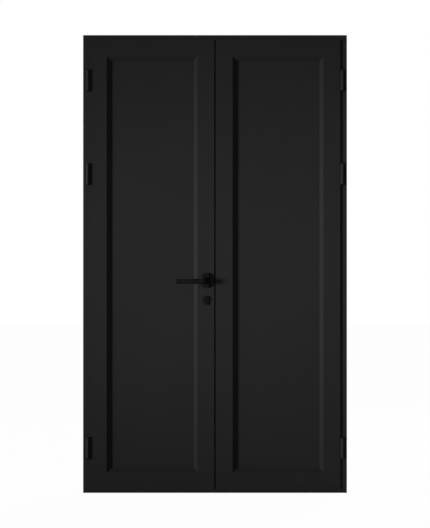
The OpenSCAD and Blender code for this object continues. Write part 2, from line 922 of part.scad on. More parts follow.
module cylinder_body() {
  cam_room = cam_w / 2 + slide_play;
  front = leaf_front - cylinder_out;
  back = leaf_back + cylinder_out;
  color(black) flip() difference() {
    at_key(front, back) cylinder_outline(0);
    round_y(lock_x, key_z, plug_d + 2 * run_play, front - cut, back + cut);
    translate([lock_x - cylinder_d, middle_y - cam_room, key_z - cam_sweep - slide_play]) {
      cube([2 * cylinder_d, 2 * cam_room, 2 * cylinder_d]);
    }
  }
}

// The flat oval section of the lever's bar: thickness across, height up
module grip_section() {
  straight = grip_h - grip_t;
  square([grip_t, straight], center = true);
  for (z = [-straight / 2, straight / 2]) {
    translate([0, z]) circle(d = grip_t);
  }
}

// A lever that stands out along +Z and runs along +X, with its height along Y
module lever() {
  neck_low = rosette_t + collar_out - cut;
  neck_high = lever_out - grip_t / 2 - bend_r;
  grip_z = neck_high + bend_r;
  grip_end = lever_l - grip_t / 2;
  difference() {
    union() {
      translate([0, 0, collar_low]) cylinder(h = rosette_t + collar_out - collar_low, d = collar_d);
      translate([0, -grip_drop, neck_low]) linear_extrude(neck_high - neck_low) grip_section();
      translate([bend_r, -grip_drop, neck_high]) rotate([90, 0, 180]) {
        rotate_extrude(angle = 90) translate([bend_r, 0]) grip_section();
      }
      translate([bend_r, -grip_drop, grip_z]) rotate([0, 90, 0]) {
        linear_extrude(grip_end - bend_r) grip_section();
      }
      translate([grip_end, -grip_drop, grip_z]) rotate([-90, -90, 0]) rotate_extrude(angle = 180) {
        intersection() {
          grip_section();
          translate([0, -grip_h]) square([grip_t, 2 * grip_h]);
        }
      }
    }
    translate([-spindle_w / 2, -spindle_w / 2, 0]) cube([spindle_w, spindle_w, spindle_hold]);
  }
}

module placed_lever() {
  translate([lock_x, leaf_front, handle_z]) rotate([90, 0, 0]) lever();
}

module front_lever() {
  color(black) flip() placed_lever();
}

module back_lever() {
  color(black) flip() to_back() placed_lever();
}

module spindle() {
  color(steel) flip() square_y(spindle_w, leaf_front - spindle_hold, leaf_back + spindle_hold);
}

// The hub that the spindle turns, with the arm that draws the latch back
module lock_follower() {
  width = case_t - 2 * case_wall - 2 * slide_play;
  color(steel) flip() difference() {
    union() {
      round_y(lock_x, handle_z, 2 * hub_r, middle_y - case_t / 2, middle_y + case_t / 2);
      translate([lock_x - arm_w / 2, middle_y - width / 2, handle_z]) cube([arm_w, width, arm_l]);
    }
    square_y(spindle_w, leaf_front, leaf_back);
  }
}

// The latch: a sloped nose, a flat tail and a lug that hangs behind the follower's arm
module latch_bolt() {
  nose_x = face_x - latch_out;
  lug_x = lock_x + arm_w / 2 + slide_play + fit_play;
  lug_z = handle_z + hub_r + 1;
  tail_t = bolt_t - 4;
  nose_end = meeting_x + 14;
  color(steel) flip() {
    difference() {
      translate([nose_x, middle_y - bolt_t / 2, latch_z - latch_h / 2]) {
        cube([nose_end - nose_x, bolt_t, latch_h]);
      }
      translate([0, 0, latch_z - latch_h]) linear_extrude(2 * latch_h) polygon([
        [nose_x - cut, middle_y + bolt_t / 2 + cut], [nose_x - cut, middle_y - bolt_t / 4],
        [nose_x, middle_y - bolt_t / 4], [nose_x + latch_out - faceplate_t, middle_y + bolt_t / 2],
        [nose_x + latch_out - faceplate_t, middle_y + bolt_t / 2 + cut]
      ]);
    }
    translate([nose_end, middle_y - tail_t / 2, latch_z - latch_h / 2]) {
      cube([lug_x + lug_t - nose_end, tail_t, latch_h / 2]);
    }
    translate([lug_x, middle_y - tail_t / 2, lug_z]) cube([lug_t, tail_t, latch_z - lug_z]);
  }
}

module deadbolt() {
  color(steel) flip() translate([face_x, middle_y - bolt_t / 2, deadbolt_z - deadbolt_h / 2]) {
    cube([deadbolt_l, bolt_t, deadbolt_h]);
  }
}

module key_plugs() {
  keyway_d = 12;
  length = leaf_depth / 2 + cylinder_out - cam_w / 2;
  color(black) flip() for (turn = [0, 1]) {
    translate([lock_x, middle_y, key_z]) mirror([0, turn, 0]) difference() {
      round_y(0, 0, plug_d, -cam_w / 2 - length, -cam_w / 2);
      translate([-keyway_w / 2, -cam_w / 2 - length - cut, -plug_d / 2 - cut]) {
        cube([keyway_w, keyway_d + cut, plug_d * 0.8 + cut]);
      }
    }
  }
}

module cylinder_cam() {
  color(steel) flip() {
    round_y(lock_x, key_z, plug_d, middle_y - cam_w / 2, middle_y + cam_w / 2);
    translate([lock_x - cam_lug / 2, middle_y - cam_w / 2, key_z - cam_reach]) {
      cube([cam_lug, cam_w, cam_reach]);
    }
  }
}

module right_hinge_stile() {
  color(coat) hinge_stile();
}

module right_meeting_stile() {
  color(coat) leaf_profile(LEFT);
}

module right_top_rail() {
  color(coat) leaf_profile(TOP);
}

module right_bottom_rail() {
  color(coat) leaf_profile(BOTTOM);
}

module right_corner_cleats() {
  color(bare) leaf_cleats();
}

module right_panel() {
  color(coat) panel();
}

module right_panel_packers() {
  color(rubber) panel_packers();
}

module right_glazing_beads() {
  color(coat) glazing_beads();
}

module right_panel_gaskets() {
  color(rubber) panel_gaskets();
}

// The slots that the thumb pieces slide in
module thumb_slots(x0, x1) {
  for (ends = BOLT_PLATES) {
    translate([x0, middle_y - thumb_w / 2 - slide_play, ends[0] + plate_end]) {
      cube([x1 - x0, thumb_w + 2 * slide_play, slot_h]);
    }
  }
}

module right_meeting_profile() {
  color(coat) difference() {
    meeting_profile();
    bolt_opening(latch_z, latch_h, 0, rod_x);
    bolt_opening(deadbolt_z, deadbolt_h, 0, rod_x);
    thumb_slots(0, rod_x);
    at_plate_ends(keep_face, keep_low, keep_high) screw_hole(keep_screw_l);
    for (ends = BOLT_PLATES) {
      at_plate_ends(face_x, ends[0], ends[1]) screw_hole(plate_screw_l);
    }
  }
}

module right_meeting_seal() {
  color(rubber) meeting_seal();
}

module right_meeting_caps() {
  color(black) meeting_caps(rod_d + 2 * run_play);
}

module right_leaf_screws() {
  color(steel) {
    leaf_hinge_screws();
    at_plate_ends(keep_face, keep_low, keep_high) screw(keep_screw_l);
    for (ends = BOLT_PLATES) {
      at_plate_ends(face_x, ends[0], ends[1]) screw(plate_screw_l);
    }
  }
}

module strike_keep() {
  color(steel) difference() {
    translate([keep_face, middle_y - plate_w / 2, keep_low]) cube([keep_t, plate_w, keep_high - keep_low]);
    bolt_opening(latch_z, latch_h, keep_face - cut, rod_x);
    bolt_opening(deadbolt_z, deadbolt_h, keep_face - cut, rod_x);
    at_plate_ends(keep_face, keep_low, keep_high) screw_hole(keep_screw_l);
  }
}

module bolt_plates() {
  color(steel) difference() {
    for (ends = BOLT_PLATES) {
      translate([face_x, middle_y - plate_w / 2, ends[0]]) cube([faceplate_t, plate_w, ends[1] - ends[0]]);
    }
    thumb_slots(face_x - cut, rod_x);
    for (ends = BOLT_PLATES) {
      at_plate_ends(face_x, ends[0], ends[1]) screw_hole(plate_screw_l);
    }
  }
}

// A flush bolt that reaches down from its end, with a thumb piece in the plate's slot
module flush_bolt() {
  thumb_x = face_x + faceplate_t / 2;
  translate([rod_x, middle_y, -rod_l]) cylinder(h = rod_l, d = rod_d);
  translate([thumb_x, middle_y - thumb_w / 2, -rod_l]) cube([rod_x - thumb_x, thumb_w, thumb_h]);
}

module top_bolt() {
  color(steel) translate([0, 0, rod_z]) flush_bolt();
}

module bottom_bolt() {
  color(steel) translate([0, 0, rod_low_z]) mirror([0, 0, 1]) flush_bolt();
}

frame_left_jamb();
frame_right_jamb();
frame_head();
threshold();
frame_corner_cleats();
frame_gasket();
left_hinge_frame_wings();
right_hinge_frame_wings();
hinge_pins();
hinge_caps();
hinge_washers();
frame_hinge_screws();
bolt_keepers();
left_hinge_stile();
left_meeting_stile();
left_top_rail();
left_bottom_rail();
left_corner_cleats();
left_panel();
left_panel_packers();
left_glazing_beads();
left_panel_gaskets();
left_meeting_profile();
left_meeting_seal();
left_meeting_caps();
left_hinge_leaf_wings();
left_leaf_screws();
lock_case();
lock_faceplate();
front_rosette();
back_rosette();
front_escutcheon();
back_escutcheon();
cylinder_body();
front_lever();
back_lever();
spindle();
lock_follower();
latch_bolt();
deadbolt();
key_plugs();
cylinder_cam();
right_hinge_stile();
right_meeting_stile();
right_top_rail();
right_bottom_rail();
right_corner_cleats();
right_panel();
right_panel_packers();
right_glazing_beads();
right_panel_gaskets();
right_meeting_profile();
right_meeting_seal();
right_meeting_caps();
right_hinge_leaf_wings();
right_leaf_screws();
strike_keep();
bolt_plates();
top_bolt();
bottom_bolt();
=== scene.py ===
"""Looks of a double aluminium door with its frame: finishes, gaskets, seals, studio and camera."""

import logging
import math
from dataclasses import dataclass
from enum import Enum
from typing import ClassVar, Sequence

import bmesh
import bpy
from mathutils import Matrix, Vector


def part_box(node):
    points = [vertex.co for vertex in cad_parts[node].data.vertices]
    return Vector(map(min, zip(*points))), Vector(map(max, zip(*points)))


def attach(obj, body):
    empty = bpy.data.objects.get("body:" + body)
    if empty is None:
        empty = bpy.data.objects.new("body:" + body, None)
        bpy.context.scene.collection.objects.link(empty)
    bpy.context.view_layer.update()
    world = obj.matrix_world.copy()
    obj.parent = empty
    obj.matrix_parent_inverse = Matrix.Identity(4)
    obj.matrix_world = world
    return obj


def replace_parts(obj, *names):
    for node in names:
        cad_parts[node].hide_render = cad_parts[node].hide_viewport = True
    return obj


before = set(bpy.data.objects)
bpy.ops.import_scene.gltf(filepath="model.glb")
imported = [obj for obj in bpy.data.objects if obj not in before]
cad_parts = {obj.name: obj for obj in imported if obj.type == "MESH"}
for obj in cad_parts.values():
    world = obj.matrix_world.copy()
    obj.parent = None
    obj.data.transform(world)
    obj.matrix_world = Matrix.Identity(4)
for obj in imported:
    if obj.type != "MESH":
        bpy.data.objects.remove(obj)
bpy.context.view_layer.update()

LOG = logging.getLogger("double_door")
MM = 0.001

Colour = tuple[float, float, float]
Point = tuple[float, float, float]
Section = list[tuple[float, float]]


class Run(Enum):
    """The way an extrusion's die lines run, as scales along X, Y and Z."""

    UPRIGHT = (1.0, 1.0, 0.006)
    LEVEL = (0.006, 1.0, 1.0)
    NONE = (1.0, 1.0, 1.0)


class Side(Enum):
    """The two leaves, with the sign of X that each one lies on."""

    LEFT = -1
    RIGHT = 1

    @property
    def word(self) -> str:
        """The leaf's name in its nodes' names."""
        return self.name.lower()

    @property
    def body(self) -> str:
        """The name of the leaf's body."""
        return f"{self.word}_leaf"


class Face(Enum):
    """The two faces of a leaf, as the word in their nodes' names."""

    FRONT = "front"
    BACK = "back"


class Signal:
    """A shader value that turns Python operators into Math nodes."""

    def __init__(self, graph: "Graph", socket: bpy.types.NodeSocket) -> None:
        """Wraps an output of a node in a graph."""
        self.graph = graph
        self.socket = socket

    def _math(self, operation: str, *values: "Signal | float") -> "Signal":
        """The value of a Math node with this operation on these inputs."""
        return self.graph.node("ShaderNodeMath", {"operation": operation}, dict(enumerate(values))).out()

    def __add__(self, other: "Signal | float") -> "Signal":
        """Sum."""
        return self._math("ADD", self, other)

    __radd__ = __add__

    def __mul__(self, other: "Signal | float") -> "Signal":
        """Product."""
        return self._math("MULTIPLY", self, other)

    __rmul__ = __mul__

    def __sub__(self, other: "Signal | float") -> "Signal":
        """Difference."""
        return self._math("SUBTRACT", self, other)

    def __rsub__(self, other: "Signal | float") -> "Signal":
        """Difference from a number."""
        return self._math("SUBTRACT", other, self)

    def peak(self, other: "Signal | float") -> "Signal":
        """The larger of two values."""
        return self._math("MAXIMUM", self, other)

    def ramp(self, low: float, high: float) -> "Signal":
        """A smooth step.

        Args:
            low: the value that gives 0.
            high: the value that gives 1.

        Returns:
            The step, between 0 and 1.
        """
        settings = {"interpolation_type": "SMOOTHSTEP", "clamp": True}
        sockets = {0: self, 1: low, 2: high, 3: 0.0, 4: 1.0}
        return self.graph.node("ShaderNodeMapRange", settings, sockets).out()


class Node:
    """A shader node with a short way to its outputs."""

    def __init__(self, graph: "Graph", node: bpy.types.Node) -> None:
        """Wraps a node of a graph."""
        self.graph = graph
        self.node = node

    def out(self, key: int | str = 0) -> Signal:
        """One output of the node, by its name or place."""
        return Signal(self.graph, self.node.outputs[key])


class Graph:
    """The node tree of a material or of the world."""

    def __init__(self, owner: bpy.types.Material | bpy.types.World) -> None:
        """Empties the owner's tree.

        Args:
            owner: what the tree belongs to.
        """
        owner.use_nodes = True
        self.tree = owner.node_tree
        self.tree.nodes.clear()

    def node(self, kind: str, settings: dict[str, object] | None = None,
             sockets: dict[int | str, object] | None = None) -> Node:
        """Adds one node.

        Args:
            kind: the node's type.
            settings: its properties, set first.
            sockets: values or signals of its inputs, by name or place.

        Returns:
            The node.
        """
        made = self.tree.nodes.new(kind)
        for name, value in (settings or {}).items():
            setattr(made, name, value)
        for key, value in (sockets or {}).items():
            if isinstance(value, Signal):
                self.tree.links.new(value.socket, made.inputs[key])
            else:
                made.inputs[key].default_value = value
        return Node(self, made)

    def place(self) -> Signal:
        """The Object coordinates, in metres in the door's frame."""
        return self.node("ShaderNodeTexCoord").out("Object")

    def along(self, axis: str) -> Signal:
        """One of the Object coordinates, X, Y or Z, in metres."""
        return self.node("ShaderNodeSeparateXYZ", {}, {0: self.place()}).out(axis)

    def stretched(self, scale: Point) -> Signal:
        """The Object coordinates, scaled along each axis."""
        return self.node("ShaderNodeMapping", {}, {"Vector": self.place(), "Scale": scale}).out()

    def noise(self, vector: Signal, scale: float, detail: float = 3.0, rough: float = 0.5) -> Signal:
        """A noise value between 0 and 1, read at these coordinates."""
        sockets = {"Vector": vector, "Scale": scale, "Detail": detail, "Roughness": rough}
        return self.node("ShaderNodeTexNoise", {}, sockets).out(0)

    def mixed(self, factor: Signal, first: Colour | Signal, second: Colour | Signal) -> Signal:
        """A colour between two colours.

        Args:
            factor: 0 for the first colour, 1 for the second.
            first: the first colour.
            second: the second colour.

        Returns:
            The mixed colour.
        """
        ends = [end if isinstance(end, Signal) else (*end, 1.0) for end in (first, second)]
        sockets = {0: factor, 6: ends[0], 7: ends[1]}  # a Mix node's colours are its inputs 6 and 7
        return self.node("ShaderNodeMix", {"data_type": "RGBA"}, sockets).out(2)

    def bump(self, height: Signal, strength: float, distance: float) -> Signal:
        """A bumped normal, where a height of 1 stands for this distance in metres."""
        sockets = {"Height": height, "Strength": strength, "Distance": distance}
        return self.node("ShaderNodeBump", {}, sockets).out()

    def seen(self) -> Signal:
        """Tells rays that show the studio from rays that light the door.

        Returns:
            1 for rays from the camera, in reflections and through glass, and 0 for the others.
        """
        path = self.node("ShaderNodeLightPath")
        mirrored = path.out("Is Camera Ray").peak(path.out("Is Glossy Ray"))
        return mirrored.peak(path.out("Is Transmission Ray"))

    def surface(self, shader: Node) -> None:
        """Ends the tree in this shader."""
        kind = "ShaderNodeOutputWorld" if shader.node.type == "BACKGROUND" else "ShaderNodeOutputMaterial"
        self.node(kind, {}, {"Surface": shader.out()})


@dataclass(frozen=True)
class Finish:
    """A finish with a principled shader; each kind of finish says what varies over its surface.

    Attributes:
        name: the material's name.
        colour: its main colour.
        shade: the colour that it drifts to.
        rough: its mean roughness.
        gloss: its specular level.
    """

    name: str
    colour: Colour
    shade: Colour
    rough: float
    gloss: float

    METALLIC: ClassVar[float] = 0.0

    def vary(self, graph: Graph) -> dict[str, Signal]:
        """The principled shader's sockets that vary over the surface."""
        raise NotImplementedError

    def roughness(self, *shares: tuple[Signal, float]) -> Signal:
        """The roughness, varied about its mean by signals from 0 to 1, each with the change it makes."""
        least = self.rough - sum(share for _, share in shares) / 2
        return sum((signal * share for signal, share in shares), least)

    def make(self) -> bpy.types.Material:
        """Builds the material.

        Returns:
            The material, ready to be put on pieces.
        """
        material = bpy.data.materials.new(self.name)
        graph = Graph(material)
        constants = {"Metallic": self.METALLIC, "Specular IOR Level": self.gloss}
        graph.surface(graph.node("ShaderNodeBsdfPrincipled", {}, {**constants, **self.vary(graph)}))
        return material


@dataclass(frozen=True)
class Coat(Finish):
    """What the powder coats share: clouds in the colour, orange peel and dust near the floor."""

    CLOUD_SCALE: ClassVar[float] = 4.0
    CLOUD_SPAN: ClassVar[float] = 0.9
    CLOUD_MEAN: ClassVar[float] = 0.4
    PEEL_SCALE: ClassVar[float] = 900.0
    DUST_HEIGHTS: ClassVar[tuple[float, float]] = (0.02, 0.4)
    DUST_SCALE: ClassVar[float] = 26.0
    DUST_SHARE: ClassVar[float] = 0.35
    DUST_ROUGH: ClassVar[float] = 0.2

    def cloud(self, graph: Graph) -> Signal:
        """Clouds, between 0 and 1."""
        return graph.noise(graph.place(), self.CLOUD_SCALE, detail=4.0, rough=0.6)

    def peel(self, graph: Graph) -> Signal:
        """Orange peel, between 0 and 1."""
        return graph.noise(graph.place(), self.PEEL_SCALE, detail=2.0)

    def dust(self, graph: Graph) -> Signal:
        """Dust that thins out with the height above the floor."""
        speckle = graph.noise(graph.place(), self.DUST_SCALE, detail=5.0, rough=0.65)
        return (1.0 - graph.along("Z").ramp(*self.DUST_HEIGHTS)) * speckle * self.DUST_SHARE

    def tint(self, graph: Graph, cloud: Signal, dust: Signal) -> Signal:
        """The coat's colour, between the main one and the shade."""
        drift = (cloud - 0.5) * self.CLOUD_SPAN + self.CLOUD_MEAN + dust
        return graph.mixed(drift, self.colour, self.shade)


@dataclass(frozen=True)
class PowderCoat(Coat):
    """A satin powder coat on an extrusion, with faint die lines along it.

    Attributes:
        run: the way that the die lines run.
    """

    run: Run = Run.UPRIGHT

    LINE_SCALE: ClassVar[float] = 420.0

    def vary(self, graph: Graph) -> dict[str, Signal]:
        """Cloudy colour, orange peel, die lines and dust.

        Args:
            graph: the material's tree.

        Returns:
            The varying sockets.
        """
        cloud, peel, dust = self.cloud(graph), self.peel(graph), self.dust(graph)
        lines = graph.noise(graph.stretched(self.run.value), self.LINE_SCALE, detail=2.0)
        return {
            "Base Color": self.tint(graph, cloud, dust),
            "Roughness": self.roughness((cloud, 0.10), (peel, 0.08), (lines, 0.06)) + dust * self.DUST_ROUGH,
            "Normal": graph.bump(peel * 0.7 + lines * 0.3, strength=0.10, distance=0.3 * MM),
        }


@dataclass(frozen=True)
class SheetPanel(Coat):
    """A satin powder coat on a flat sheet, which is very slightly wavy."""

    CLOUD_SCALE: ClassVar[float] = 3.0
    DUST_HEIGHTS: ClassVar[tuple[float, float]] = (0.05, 0.5)
    DUST_SCALE: ClassVar[float] = 22.0
    DUST_SHARE: ClassVar[float] = 0.3
    WAVE_SCALE: ClassVar[float] = 5.0
    WAVE_STRETCH: ClassVar[Point] = (1.0, 1.0, 0.45)
    PEEL_HEIGHT: ClassVar[float] = 0.0006

    def vary(self, graph: Graph) -> dict[str, Signal]:
        """Cloudy colour, orange peel, a shallow wave and dust.

        Args:
            graph: the material's tree.

        Returns:
            The varying sockets.
        """
        cloud, peel, dust = self.cloud(graph), self.peel(graph), self.dust(graph)
        wave = graph.noise(graph.stretched(self.WAVE_STRETCH), self.WAVE_SCALE, detail=1.0)
        return {
            "Base Color": self.tint(graph, cloud, dust),
            "Roughness": self.roughness((cloud, 0.10), (peel, 0.08)) + dust * self.DUST_ROUGH,
            "Normal": graph.bump(wave + peel * self.PEEL_HEIGHT, strength=0.35, distance=1.2 * MM),
        }


@dataclass(frozen=True)
class SatinLacquer(Finish):
    """Black lacquer on the handle's metal, a little more polished in patches."""

    TOUCH_SCALE: ClassVar[float] = 34.0
    GRAIN_SCALE: ClassVar[float] = 1400.0

    def vary(self, graph: Graph) -> dict[str, Signal]:
        """Handling marks in the gloss and a fine grain.

        Args:
            graph: the material's tree.

        Returns:
            The varying sockets.
        """
        touch = graph.noise(graph.place(), self.TOUCH_SCALE, detail=4.0, rough=0.6)
        grain = graph.noise(graph.place(), self.GRAIN_SCALE, detail=2.0)
        return {
            "Base Color": graph.mixed(touch.ramp(0.35, 0.75), self.colour, self.shade),
            "Roughness": self.roughness((touch, 0.18), (grain, 0.06)),
            "Normal": graph.bump(grain, strength=0.06, distance=0.2 * MM),
        }


@dataclass(frozen=True)
class GripLacquer(SatinLacquer):
    """Black lacquer with painted shade: darker at the lever's root than on the grip, for the shadow that the
    grip and neck cast there.

    Attributes:
        root: the painted shade colour at the root.
        middle: the Y of the middle of the leaf.
        near: distance from the middle of the leaf where the painted shade starts to fade.
        far: distance from the middle of the leaf where the lacquer's own colour is full.
    """

    root: Colour = (0.0024, 0.0024, 0.0026)
    middle: float = -0.008
    near: float = 0.053
    far: float = 0.074

    def vary(self, graph: Graph) -> dict[str, Signal]:
        """Painted shade at the lever's root, with the lacquer's handling marks on the grip.

        Args:
            graph: the material's tree.

        Returns:
            The varying sockets.
        """
        sockets = super().vary(graph)
        depth = graph.along("Y") - self.middle
        grip = depth.peak(0.0 - depth).ramp(self.near, self.far)
        # painted shade: the root takes a darker colour that stands for the shadow of the grip and neck
        return {**sockets, "Base Color": graph.mixed(grip, self.root, sockets["Base Color"])}


@dataclass(frozen=True)
class BrushedMetal(Finish):
    """Bare steel or aluminium with brush lines.

    Attributes:
        run: the way that the brush lines run.
    """

    run: Run = Run.UPRIGHT

    METALLIC: ClassVar[float] = 1.0
    LINE_SCALE: ClassVar[float] = 1500.0
    CLOUD_SCALE: ClassVar[float] = 60.0

    def vary(self, graph: Graph) -> dict[str, Signal]:
        """Brush lines in colour, gloss and normal.

        Args:
            graph: the material's tree.

        Returns:
            The varying sockets.
        """
        lines = graph.noise(graph.stretched(self.run.value), self.LINE_SCALE)
        cloud = graph.noise(graph.place(), self.CLOUD_SCALE)
        return {
            "Base Color": graph.mixed(lines * 0.5 + cloud * 0.5, self.colour, self.shade),
            "Roughness": self.roughness((lines, 0.2), (cloud, 0.1)),
            "Normal": graph.bump(lines, strength=0.08, distance=0.2 * MM),
        }


@dataclass(frozen=True)
class SoftRubber(Finish):
    """Matt black rubber or fibre with a fine bloom."""

    BLOOM_SCALE: ClassVar[float] = 90.0
    GRAIN_SCALE: ClassVar[float] = 1800.0

    def vary(self, graph: Graph) -> dict[str, Signal]:
        """Bloom in the colour and a fine grain.

        Args:
            graph: the material's tree.

        Returns:
            The varying sockets.
        """
        bloom = graph.noise(graph.place(), self.BLOOM_SCALE, detail=4.0, rough=0.65)
        grain = graph.noise(graph.place(), self.GRAIN_SCALE, detail=2.0)
        return {
            "Base Color": graph.mixed(bloom.ramp(0.3, 0.8), self.colour, self.shade),
            "Roughness": self.roughness((bloom, 0.1), (grain, 0.08)),
            "Normal": graph.bump(grain, strength=0.12, distance=0.3 * MM),
        }


# Main colour, the colour it drifts to, mean roughness and specular level.
Look = tuple[Colour, Colour, float, float]
COAT: Look = ((0.0188, 0.0188, 0.0189), (0.0223, 0.0223, 0.0224), 0.48, 0.015)
# The hinges wear the frame's coat painted lighter: a painted sheen for the highlight on the knuckles' lit
# side.
HINGE_PAINTED_SHEEN_COAT: Look = ((0.0228, 0.0228, 0.0229), (0.0264, 0.0264, 0.0265), 0.48, 0.015)
LACQUER: Look = ((0.0057, 0.0057, 0.0058), (0.0093, 0.0093, 0.0094), 0.36, 0.02)
STEEL: Look = ((0.30, 0.305, 0.315), (0.42, 0.425, 0.435), 0.34, 0.5)
MILL: Look = ((0.52, 0.525, 0.53), (0.64, 0.645, 0.65), 0.42, 0.5)
RUBBER: Look = ((0.009, 0.009, 0.0095), (0.016, 0.016, 0.0165), 0.72, 0.12)
PILE: Look = ((0.008, 0.008, 0.0085), (0.017, 0.017, 0.018), 0.86, 0.05)


class Finishes:
    """All the finishes of the door, each made once."""

    def __init__(self) -> None:
        """Makes the materials."""
        self.upright = PowderCoat("coat_upright", *COAT, run=Run.UPRIGHT).make()
        self.level = PowderCoat("coat_level", *COAT, run=Run.LEVEL).make()
        # painted sheen: the hinge coat is lighter than the frame's coat for the knuckles' highlight
        self.hinge = PowderCoat("coat_hinge", *HINGE_PAINTED_SHEEN_COAT, run=Run.NONE).make()
        self.panel = SheetPanel("coat_panel", *COAT).make()
        self.black = SatinLacquer("black_lacquer", *LACQUER).make()
        self.grip = GripLacquer("grip_lacquer", *LACQUER).make()
        self.steel = BrushedMetal("satin_steel", *STEEL).make()
        self.mill = BrushedMetal("mill_aluminium", *MILL, run=Run.NONE).make()
        self.rubber = SoftRubber("black_rubber", *RUBBER).make()
        self.pile = SoftRubber("pile_fibre", *PILE).make()


def dress(material: bpy.types.Material, *nodes: str) -> None:
    """Gives CAD nodes one finish.

    Args:
        material: the finish.
        nodes: the nodes' names.
    """
    for node in nodes:
        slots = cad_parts[node].data.materials
        slots.clear()
        slots.append(material)


def new_piece(name: str, mesh: bpy.types.Mesh, material: bpy.types.Material, body: str) -> bpy.types.Object:
    """Makes a finished piece that rides on a body.

    Args:
        name: the piece's name.
        mesh: its mesh, with its place in it.
        material: its finish.
        body: the body that carries it.

    Returns:
        The piece.
    """
    piece = bpy.data.objects.new(name, mesh)
    bpy.context.scene.collection.objects.link(piece)
    mesh.materials.clear()
    mesh.materials.append(material)
    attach(piece, body)
    LOG.info("%s on %s: %d faces", name, body, len(mesh.polygons))
    return piece


class NodeTree:
    """A Geometry Nodes tree that makes one plain mesh."""

    def __init__(self, name: str) -> None:
        """Starts the tree.

        Args:
            name: the tree's name.
        """
        self.tree = bpy.data.node_groups.new(name, "GeometryNodeTree")
        self.tree.interface.new_socket(name="Geometry", in_out="OUTPUT", socket_type="NodeSocketGeometry")
        self.entry = self.tree.nodes.new("NodeGroupInput")
        self.exit = self.tree.nodes.new("NodeGroupOutput")
        self.values: dict[str, object] = {}

    def size(self, name: str, kind: str, value: object) -> bpy.types.NodeSocket:
        """Adds a named input.

        Args:
            name: what the size is.
            kind: its socket type, such as Float or Vector.
            value: the size itself.

        Returns:
            The socket that carries it.
        """
        kind = f"NodeSocket{kind}"
        socket = self.tree.interface.new_socket(name=name, in_out="INPUT", socket_type=kind)
        self.values[socket.identifier] = value
        return self.entry.outputs[name]

    def node(self, kind: str, settings: dict[str, object] | None = None,
             sockets: dict[int | str, object] | None = None) -> bpy.types.Node:
        """Adds one node.

        Args:
            kind: the node's type.
            settings: its properties, set first.
            sockets: values or links of its inputs.

        Returns:
            The node.
        """
        made = self.tree.nodes.new(kind)
        for name, value in (settings or {}).items():
            setattr(made, name, value)
        for key, value in (sockets or {}).items():
            if isinstance(value, bpy.types.NodeSocket):
                self.tree.links.new(value, made.inputs[key])
            else:
                made.inputs[key].default_value = value
        return made

    def block(self, name: str, size: Point, centre: Point) -> bpy.types.NodeSocket:
        """Adds a block.

        Args:
            name: the name of the input that holds its size.
            size: its size along X, Y and Z.
            centre: its middle.

        Returns:
            The block's geometry.
        """
        cube = self.node("GeometryNodeMeshCube", {}, {"Size": self.size(name, "Vector", size)})
        sockets = {"Geometry": cube.outputs[0], "Translation": centre}
        return self.node("GeometryNodeTransform", {}, sockets).outputs[0]

    def mesh(self, parts: Sequence[bpy.types.NodeSocket], material: bpy.types.Material) -> bpy.types.Mesh:
        """Ends the tree and turns its result into a plain mesh.

        Args:
            parts: the geometry to keep.
            material: the finish set on it.

        Returns:
            The mesh.
        """
        joined = self.node("GeometryNodeJoinGeometry")
        for part in parts:
            self.tree.links.new(part, joined.inputs[0])
        solid = self.node("GeometryNodeRealizeInstances", {}, {0: joined.outputs[0]})
        sockets = {"Geometry": solid.outputs[0], "Material": material}
        painted = self.node("GeometryNodeSetMaterial", {}, sockets)
        self.tree.links.new(painted.outputs[0], self.exit.inputs[0])
        holder = bpy.data.objects.new(self.tree.name, bpy.data.meshes.new(self.tree.name))
        bpy.context.scene.collection.objects.link(holder)
        modifier = holder.modifiers.new("nodes", "NODES")
        modifier.node_group = self.tree
        for identifier, value in self.values.items():
            modifier[identifier] = value
        graph = bpy.context.evaluated_depsgraph_get()
        made = bpy.data.meshes.new_from_object(holder.evaluated_get(graph))
        holder.modifiers.remove(modifier)
        bpy.data.objects.remove(holder)
        return made


def skin(made: bmesh.types.BMesh, loops: list[list[bmesh.types.BMVert]]) -> None:
    """Joins each loop of points to the next one, and the last loop to the first.

    Args:
        made: the mesh that holds the points.
        loops: the loops, each with the same number of points.
    """
    for near, far in zip(loops, loops[1:] + loops[:1]):
        for i, point in enumerate(near):
            after = (i + 1) % len(near)
            made.faces.new((point, near[after], far[after], far[i]))


def plain_mesh(made: bmesh.types.BMesh, name: str) -> bpy.types.Mesh:
    """Turns a bmesh into a mesh with its faces outwards.

    Args:
        made: the bmesh, which is freed.
        name: the mesh's name.

    Returns:
        The mesh.
    """
    bmesh.ops.recalc_face_normals(made, faces=made.faces)
    mesh = bpy.data.meshes.new(name)
    made.to_mesh(mesh)
    made.free()
    return mesh


def sweep_ring(name: str, section: Section, outline: tuple[float, float, float, float]) -> bpy.types.Mesh:
    """Sweeps a closed section round a rectangle, with square mitres.

    Args:
        name: the mesh's name.
        section: points (outwards, depth), anticlockwise seen along the run.
        outline: left, right, bottom and top of the rectangle.

    Returns:
        The closed mesh.
    """
    left, right, bottom, top = outline
    corners = ((right, bottom, 1, -1), (right, top, 1, 1), (left, top, -1, 1), (left, bottom, -1, -1))
    made = bmesh.new()
    skin(made, [[made.verts.new((x + sx * out, depth, z + sz * out)) for out, depth in section]
                for x, z, sx, sz in corners])
    return plain_mesh(made, name)


def ring_outline(low: Vector, high: Vector, width: float) -> tuple[float, float, float, float]:
    """Left, right, bottom and top of the inner rectangle of a ring, from the ring's box and width."""
    return low.x + width, high.x - width, low.z + width, high.z - width


def arc(radius: float, out: float, depth: float, first: float, last: float, steps: int) -> Section:
    """Points on an arc between two angles in degrees, as (outwards, depth)."""
    turns = [math.radians(first + (last - first) * i / steps) for i in range(steps + 1)]
    return [(out + radius * math.cos(turn), depth + radius * math.sin(turn)) for turn in turns]


CORNER_STEPS = 10
EDGE_STEPS = 6
SMOOTH_ANGLE = math.radians(30.0)


